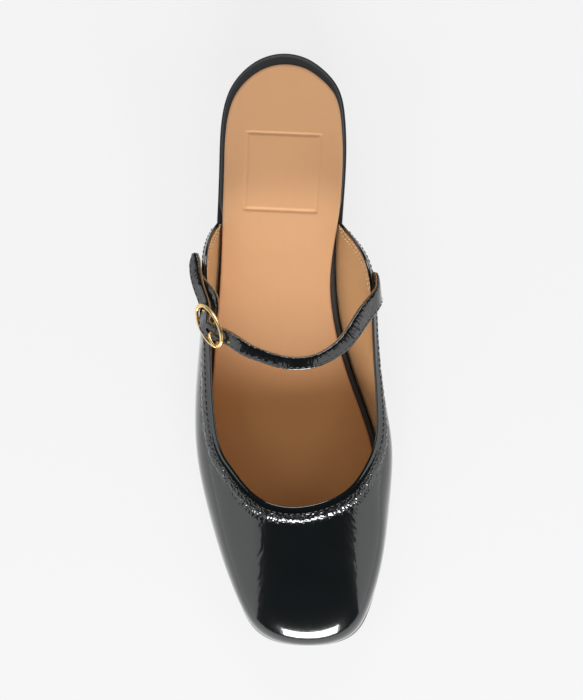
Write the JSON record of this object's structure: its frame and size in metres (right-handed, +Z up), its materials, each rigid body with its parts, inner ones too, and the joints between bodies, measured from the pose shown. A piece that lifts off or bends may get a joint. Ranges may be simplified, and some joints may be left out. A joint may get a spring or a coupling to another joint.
{
  "type": "mary jane flat",
  "caption": "Backless mary jane flat with a square toe, a hollow upper, a leather sock and a buckled instep strap, for wearing on the right foot.",
  "frame": {"origin": "on the floor, under the middle of the shoe's box", "axes": "+Y to the heel, -Y to the toe, -X to the outer side with the buckle, +Z up from the floor"},
  "size_m": [0.0851, 0.252, 0.0639],
  "materials": {
    "patent": "black crinkled patent, high gloss",
    "sole": "satin black",
    "rim": "black wrapped leather, satin",
    "sock": "tan leather, soft matt",
    "gold": "polished gold plate"
  },
  "bodies": {
    "root": {"heel": "sole", "outsole": "sole", "footbed": "rim", "insole": "sock", "upper": "patent", "strap": "patent", "buckle_tab": "patent", "buckle_frame": "gold", "buckle_prong": "gold"}
  },
  "joints": []
}
